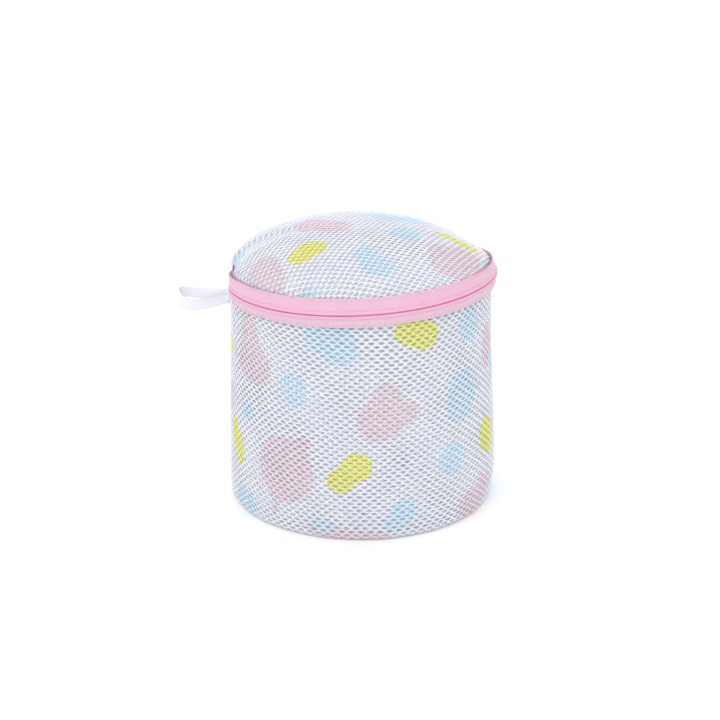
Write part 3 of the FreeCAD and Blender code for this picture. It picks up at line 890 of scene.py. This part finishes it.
def tape(edge, edge_radius, sign):
    """One tape, above (1) or below (-1) the slit: a closed section of face and inner side, swept round."""
    height = SLIT + (edge - SLIT) * np.linspace(0, 1, 30) ** 1.25
    ends = np.minimum(1, np.minimum(height - SLIT, edge - height) / EDGE_ROUNDING)
    rounding = TAPE_THICKNESS / 2 * (1 - np.sqrt(np.clip(ends, 0, 1)))
    relief = sum(size * np.exp(-((height - place) / width) ** 2) for size, place, width in (BULGE, GROOVE))

    def profile(azimuth):
        base = tape_radius(height, edge, edge_radius, flare(azimuth) if sign > 0 else 0.0)
        face = np.stack([base + relief - rounding, sign * height], 1)
        back = np.stack([base - TAPE_THICKNESS + rounding, sign * height], 1)[::-1]
        return np.concatenate([face, back[1:-1]])
    return sweep(profile, np.arange(TAPE_START, ZIP_END + 0.01, TAPE_STEP))


add("upper_tape", tape(UPPER_TOP, UPPER_EDGE, 1), "lid", TAPE, ["upper_zipper_tape"],
    LID_BEND)
add("lower_tape", tape(-LOWER_BOTTOM, LOWER_EDGE, -1), "bag_body", SHADED_LOWER_TAPE,
    ["lower_zipper_tape"])


def tape_end():
    """The upper tape's end, turned in behind the tape. Its darker pink is painted shade."""
    def profile(azimuth):
        inwards = 0.9 + 0.25 * (TAPE_START + 0.6 - azimuth)
        return strip_section(RING_RADIUS - inwards, 1.6, UPPER_TOP + 0.15, 0.8)
    return sweep(profile, np.arange(TAPE_START - 3.2, TAPE_START + 0.7, 0.3))


COIL_PITCH = 1.3
COIL_HALF = (0.5, 0.85)    # half its depth and half its height
COIL_SHIFT = (0.75, 0.3)   # from its CAD node's middle: outwards, and towards the slit
FILAMENT = 0.21            # the filament's radius


def coil(sign, start, end):
    """The monofilament wound along one tape's edge; its heads reach to the middle of the slit."""
    middle = (COIL_IN + COIL_OUT) / 2 + COIL_SHIFT[0]
    turns = math.radians(end - start) * middle / COIL_PITCH
    share = np.linspace(0, 1, int(turns * 12))
    angle = share * turns * 2 * math.pi
    radius = middle + (COIL_HALF[0] - FILAMENT / 2) * np.cos(angle)
    height = sign * ((COIL_LOW + COIL_HIGH) / 2 - COIL_SHIFT[1] + COIL_HALF[1] * np.sin(angle))
    azimuth = start + (end - start) * share + 0.18 * np.sin(angle * 2)
    path = rim(radius, azimuth, height)
    turn = np.radians(azimuth)
    toward = -np.sin(turn)[:, None] * RIM_RIGHT + np.cos(turn)[:, None] * RIM_BACK
    return tube(path, FILAMENT, toward)


OPEN_PARK = 200.0          # the slider's azimuth at the zipper's open end
CLOSED_PARK = 481.0        # and at its closed end
PARK = 6.0                 # how far short of the parked slider the upper coil ends
add("upper_coil", coil(1, OPEN_PARK + PARK, CLOSED_PARK - PARK), "lid", NYLON,
    ["upper_zipper_coil"], LID_BEND)
add("lower_coil", coil(-1, TAPE_START + 1, ZIP_END - 4), "bag_body", NYLON,
    ["lower_zipper_coil"])


STITCH = 2.3               # a stitch's length
STITCH_GAP = 0.55
STITCH_INSET = 1.2         # the rows' distance from the tapes' edges
THREAD = 0.19              # the thread's radius


def stitch_row(height, radius_at):
    """A row of lockstitches: each dips into the cloth at its ends."""
    parts = []
    azimuth = TAPE_START + 1
    dip = 0.30 * np.abs(np.linspace(-1, 1, 7)) ** 3
    thickness = THREAD * np.array([0.5, 0.85, 1, 1, 1, 0.85, 0.5])
    while azimuth < ZIP_END - 1:
        span = np.linspace(azimuth, azimuth + math.degrees(STITCH / RING_RADIUS), 7)
        radius = np.array([radius_at(place) for place in span]) + 0.06 - dip
        wobble = RANDOM.normal(0, 0.04)
        path = rim(radius, span, height + wobble + np.linspace(-0.05, 0.05, 7))
        turn = math.radians(azimuth)
        parts.append(tube(path, thickness, math.cos(turn) * RIM_RIGHT + math.sin(turn) * RIM_BACK))
        azimuth += math.degrees((STITCH + STITCH_GAP) / RING_RADIUS)
    return join(parts)


UPPER_ROW = UPPER_TOP - STITCH_INSET
LOWER_ROW = LOWER_BOTTOM + STITCH_INSET


def upper_row_radius(azimuth):
    return tape_radius(UPPER_ROW, UPPER_TOP, UPPER_EDGE, flare(azimuth))


def lower_row_radius(azimuth):
    return tape_radius(-LOWER_ROW, -LOWER_BOTTOM, LOWER_EDGE)


add("upper_stitches", stitch_row(UPPER_ROW, upper_row_radius), "lid", PINK_THREAD,
    ["upper_tape_stitching"], LID_BEND)
add("lower_stitches", stitch_row(LOWER_ROW, lower_row_radius), "bag_body", PINK_THREAD,
    ["lower_tape_stitching"])


# ---------------- metal parts: the CAD shapes with rounded edges

BOTTOM_STOP = 189.5        # the bottom stop's azimuth


def rounded_copy(name, node, body, width, inwards=0.0):
    """A CAD node's shape with its edges bevelled, moved towards the bag's axis where the rim is drawn in."""
    thing = show(name, frame["nodes"][node].data.copy())
    bpy.context.view_layer.objects.active = thing
    for kind, settings in (("WELD", {"merge_threshold": 0.00001}),
                           ("DECIMATE", {"decimate_type": "DISSOLVE", "angle_limit": math.radians(3)}),
                           ("BEVEL", {"width": width * MM, "segments": 3, "limit_method": "ANGLE",
                                      "angle_limit": math.radians(35), "harden_normals": False})):
        modifier = thing.modifiers.new(kind.lower(), kind)
        for key, value in settings.items():
            setattr(modifier, key, value)
    evaluated = thing.evaluated_get(bpy.context.evaluated_depsgraph_get())
    final = bpy.data.meshes.new_from_object(evaluated)
    thing.modifiers.clear()
    thing.data = final
    final.polygons.foreach_set("use_smooth", [True] * len(final.polygons))
    final.set_sharp_from_angle(angle=math.radians(50))
    middle = (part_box(node)[0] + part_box(node)[1]) / 2
    final.transform(Matrix.Translation(-inwards * MM * Vector((middle.x, middle.y, 0)).normalized()))
    finish(thing, body, ENAMEL, [node])


rounded_copy("slider_body", "zipper_slider", "slider", 0.22)
rounded_copy("pull", "pull_tab", "pull", 0.22)
rounded_copy("bottom_stop", "zipper_bottom_stop", "bag_body", 0.2, float(draw_in(BOTTOM_STOP, 0.0)))
rounded_copy("top_stop_low", "lower_top_stop", "bag_body", 0.15)
rounded_copy("top_stop_high", "upper_top_stop", "lid", 0.15)


# ---------------- seams inside

def strip_section(radius, low, high, thickness, swell=0.0):
    """A soft strip's section with round edges."""
    share = np.linspace(0, 1, 12)
    height = low + (high - low) * share
    half = thickness / 2 * np.sqrt(np.clip(1 - (2 * share - 1) ** 8, 0, 1)) + swell * np.sin(share * math.pi)
    out = np.stack([radius + half, height], 1)
    back = np.stack([radius - half, height], 1)[::-1]
    return np.concatenate([out, back[1:-1]])


def binding(node, swell=0.15):
    """A binding's section for an azimuth, in the place of its CAD node."""
    near, far, low, high = rim_ranges(node)
    return lambda azimuth: strip_section((near + far) / 2 + 0.05 * math.sin(math.radians(azimuth) * 37),
                                         low, high, (far - near) * 0.8, swell)


add("upper_tape_end", tape_end(), "lid", TAPE_END_SHADE, (), LID_BEND)
ZIP_ARC = np.arange(ZIP_START + 1, ZIP_END, 1.0)
HINGE_ARC = np.arange(ZIP_END - 360 + 1, ZIP_START, 1.0)
for label, arc in (("rim", ZIP_ARC), ("hinge", HINGE_ARC)):
    add(f"{label}_binding", sweep(binding(f"{label}_seam_binding"), arc), "bag_body", BINDING,
        [f"{label}_seam_binding"])
# The lid's binding takes the tape's pink so that the gap between tape and dome reads pink: painted reflected
# light from the tape.
add("lid_binding", sweep(binding("lid_seam_binding", 0.0), ZIP_ARC), "lid", TAPE,
    ["lid_seam_binding"], LID_BEND)


def rolled_seam(azimuth):
    """The bottom seam's allowance, overcast so that it swells between its stitches."""
    low, high = (corner.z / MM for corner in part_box("bottom_seam_binding"))
    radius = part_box("bottom_seam_binding")[1].x / MM - 1.1
    angle = np.arange(12) * math.pi / 6
    swell = 0.92 + 0.08 * math.cos(math.radians(azimuth) * 140)
    height = (low + high) / 2 + (high - low) / 2 * swell * np.sin(angle)
    return np.stack([radius + swell * np.cos(angle), height], 1)


add("bottom_seam", sweep(rolled_seam, np.arange(0, 360, 0.6), polar, True), "bag_body", BINDING,
    ["bottom_seam_binding"])


SEAM_HALF = 2.2            # half the strip's width


def side_seam():
    """The strip over the wall's upright seam, inside the back."""
    low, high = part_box("side_seam_binding")
    middle = (Vector(low) + Vector(high)) / 2 / MM
    azimuth = math.degrees(math.atan2(middle.y, middle.x))
    radius = math.hypot(middle.x, middle.y)
    across = np.linspace(-SEAM_HALF, SEAM_HALF, 9)
    around = azimuth + np.degrees(across / radius)
    half = 0.3 - 0.12 * (across / SEAM_HALF) ** 8
    rings = []
    for height in np.arange(low.z / MM, high.z / MM, 1.0):
        lean = radius - (height - middle.z) * WALL_SLOPE + 0.06 * math.sin(height * 2.1)
        out, back = (polar(lean + side * half, around, height) for side in (1, -1))
        rings.append(np.concatenate([out, back[::-1]]))
    points, faces = grid(np.array(rings))
    cloth = np.stack([points[:, 2], points[:, 0], points[:, 1]], 1)
    return points, faces, cloth


add("side_seam_strip", side_seam(), "bag_body", BINDING, ["side_seam_binding"])


# ---------------- hang loop

LOOP_LENGTH = ROOT[0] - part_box("hang_loop")[0].x / MM
LOOP_DRAWN = 31.2          # the loop's length that the numbers of its line are made for
RIBBON_HALF = 3.1
RIBBON_THICK = 0.36
LOOP_TURN = math.radians(1)    # from straight left towards the front
LOOP_OUT = np.array([-math.cos(LOOP_TURN), -math.sin(LOOP_TURN), 0])
LOOP_SIDE = np.array([math.sin(LOOP_TURN), -math.cos(LOOP_TURN), 0])


def loop_line():
    """The loop's line: out along the near side, round the tip and back along the far side."""
    out = np.array([-2.2, 3, 9, 15, 21, 25, 27, 25.8, 21, 15, 9, 3, -2.2]) * LOOP_LENGTH / LOOP_DRAWN
    side = np.array([0.45, 0.9, 2.2, 3.4, 3.9, 3.2, 0.3, -2.9, -3.9, -3.5, -2.2, -0.9, -0.45])
    rise = np.array([-1.8, -2.6, -4.0, -4.6, -4.4, -2.0, 0.8, 1.6, 0.6, 0.0, 0.2, 0.5, 0.6])
    lean = np.array([0, 0, 4, 8, 12, 24, 28, 16, 6, 0, -4, 0, 0])
    pinch = np.array([0.9, 0.95, 1, 1, 1, 1, 1, 1, 1, 1, 1, 0.95, 0.9])
    steps = np.concatenate([[0], np.cumsum(np.sqrt(np.diff(out) ** 2 + np.diff(side) ** 2))])
    even = np.linspace(0, steps[-1], 90)
    return [np.interp(even, steps, values) for values in (out, side, rise, lean, pinch)]


def smooth(values):
    values = np.array(values)
    for repeat in range(6):
        values[1:-1] = (values[:-2] + 2 * values[1:-1] + values[2:]) / 4
    return values


def ribbon():
    """The loop's flat ribbon, on edge along its line and leaning outwards by an angle."""
    out, side, rise, lean, pinch = [smooth(values) for values in loop_line()]
    path = ROOT + out[:, None] * LOOP_OUT + side[:, None] * LOOP_SIDE + rise[:, None] * np.array([0, 0, 1.0])
    along = unit(np.gradient(path, axis=0))
    flat_out = unit(np.cross(along, [0, 0, 1.0]))
    up = np.cross(flat_out, along)
    turn = np.radians(lean)[:, None]
    wide = up * np.cos(turn) + flat_out * np.sin(turn)
    thin = flat_out * np.cos(turn) - up * np.sin(turn)
    across = np.linspace(-1, 1, 13)
    cup = 0.35 * (1 - across ** 2)
    edge = RIBBON_THICK / 2 * (1 + 0.35 * np.abs(across) ** 12)
    rings = []
    for index in range(len(path)):
        flat = path[index] + np.outer(across * RIBBON_HALF * pinch[index], wide[index])
        swell = cup + (1 - pinch[index]) * 1.6 * np.cos(across * 9)
        front = flat + np.outer(swell + edge, thin[index])
        rear = flat + np.outer(swell - edge, thin[index])
        rings.append(np.concatenate([front, rear[::-1]]))
    points, faces = grid(np.array(rings))
    position = np.concatenate([across, across[::-1]]) * RIBBON_HALF
    cloth = np.stack([np.repeat(lengths(path), len(position)), np.tile(position, len(path)),
                      np.zeros(len(points))], 1)
    return points, faces, cloth


LOOP_BEND = ((ROOT - 2.0 * LOOP_OUT) * MM, (ROOT + 1.5 * LOOP_OUT) * MM)
add("loop_ribbon", ribbon(), "hang_loop", SATIN, ["hang_loop"], LOOP_BEND)


TAIL_ARC = np.linspace(178.8, 183.4, 12)    # azimuths


def tail():
    """The ribbon's two ends, sewn flat to the wall beside the zipper's end."""
    near, far, low, high = rim_ranges("hang_loop_tail")
    middle = (near + far) / 2
    return sweep(lambda azimuth: strip_section(middle + 0.03 * math.sin(azimuth * 5), low, high, far - near),
                 TAIL_ARC)


add("loop_tail", tail(), "bag_body", SATIN, ["hang_loop_tail"])


# ---------------- floor and light

def make_floor():
    graph = Graph("floor_paper", (1, 1, 1, 1), 0.9, Specular_IOR_Level=0.1)
    size = 4000
    corners = ((-size, -size), (size, -size), (size, size), (-size, size))
    floor = make("floor", [(x, y, -0.05) for x, y in corners], [(0, 1, 2, 3)])
    floor.data.materials.append(graph.material)


def make_light(name, place, size, power, aim=(0, 0, 0.08)):
    data = bpy.data.lights.new(name, "AREA")
    data.shape = "DISK"
    data.size = size
    data.energy = power
    light = show(name, data)
    light.location = place
    light.rotation_euler = (Vector(aim) - Vector(place)).to_track_quat("-Z", "Y").to_euler()


make_floor()
make_light("key", (-0.7, -1.0, 1.5), 1.2, 5)
make_light("fill", (1.2, -0.9, 0.9), 1.2, 1.5)
make_light("top", (0.0, 0.5, 1.6), 1.2, 4)
world = bpy.data.worlds.new("studio")
world.use_nodes = True
world.node_tree.nodes["Background"].inputs["Color"].default_value = (1, 1, 1, 1)
world.node_tree.nodes["Background"].inputs["Strength"].default_value = 1.0
bpy.context.scene.world = world
bpy.context.scene.view_settings.view_transform = "Standard"
